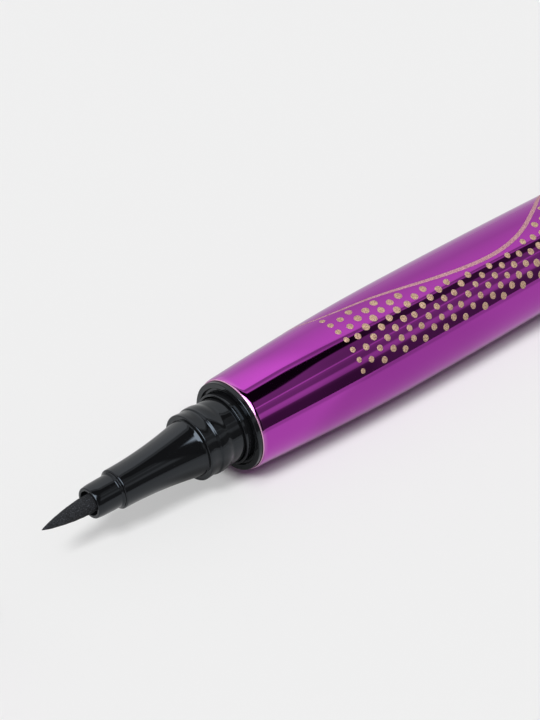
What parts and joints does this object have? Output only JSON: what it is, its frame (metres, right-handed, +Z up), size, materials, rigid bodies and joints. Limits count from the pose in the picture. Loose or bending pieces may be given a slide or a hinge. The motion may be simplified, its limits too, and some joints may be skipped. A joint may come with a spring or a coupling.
{
  "type": "eyeliner",
  "caption": "Felt-tip liquid eyeliner pen with a slim spindle barrel, a stepped black front and a pull-off cap with a sprung inner seal.",
  "frame": {"origin": "centre of the flat tail face", "axes": "+X along the pen from the nib to the tail, +Z up, the pen lying level"},
  "size_m": [0.168, 0.0118, 0.0118],
  "materials": {
    "barrel_shell": "mirror-like metallised purple",
    "mouth_collar": "glossy black",
    "front_section": "glossy black",
    "nozzle": "glossy black",
    "felt_nib": "inked felt",
    "ink_wick": "bonded fibre",
    "ink_collector": "natural white",
    "seal_ring": "black rubber",
    "ink_tank": "clear moulding",
    "tank_plug": "natural white",
    "tail_plug": "glossy black",
    "mixing_ball": "polished steel",
    "cap_shell": "mirror-like metallised purple",
    "inner_cap": "black",
    "seal_cup": "grey",
    "seal_spring": "bright spring wire"
  },
  "bodies": {
    "pen": {"barrel_shell": "barrel_shell", "mouth_collar": "mouth_collar", "front_section": "front_section", "nozzle": "nozzle", "felt_nib": "felt_nib", "ink_wick": "ink_wick", "ink_collector": "ink_collector", "seal_ring": "seal_ring", "ink_tank": "ink_tank", "tank_plug": "tank_plug", "tail_plug": "tail_plug"},
    "mixing_ball": {"mixing_ball": "mixing_ball"},
    "cap": {"cap_shell": "cap_shell", "inner_cap": "inner_cap", "seal_spring": "seal_spring"},
    "seal": {"seal_cup": "seal_cup"}
  },
  "joints": [
    {"name": "cap_slide", "type": "slide", "parent": "pen", "child": "cap", "axis": [1, 0, 0], "range_m": [0, 0.0378]},
    {"name": "seal_travel", "type": "slide", "parent": "cap", "child": "seal", "axis": [-1, 0, 0], "range_m": [0, 0.0015], "stiffness_N_per_m": 60, "deforming": ["seal_spring"]},
    {"name": "ball_roll", "type": "slide", "parent": "pen", "child": "mixing_ball", "axis": [1, 0, 0], "range_m": [0, 0.0511]}
  ]
}
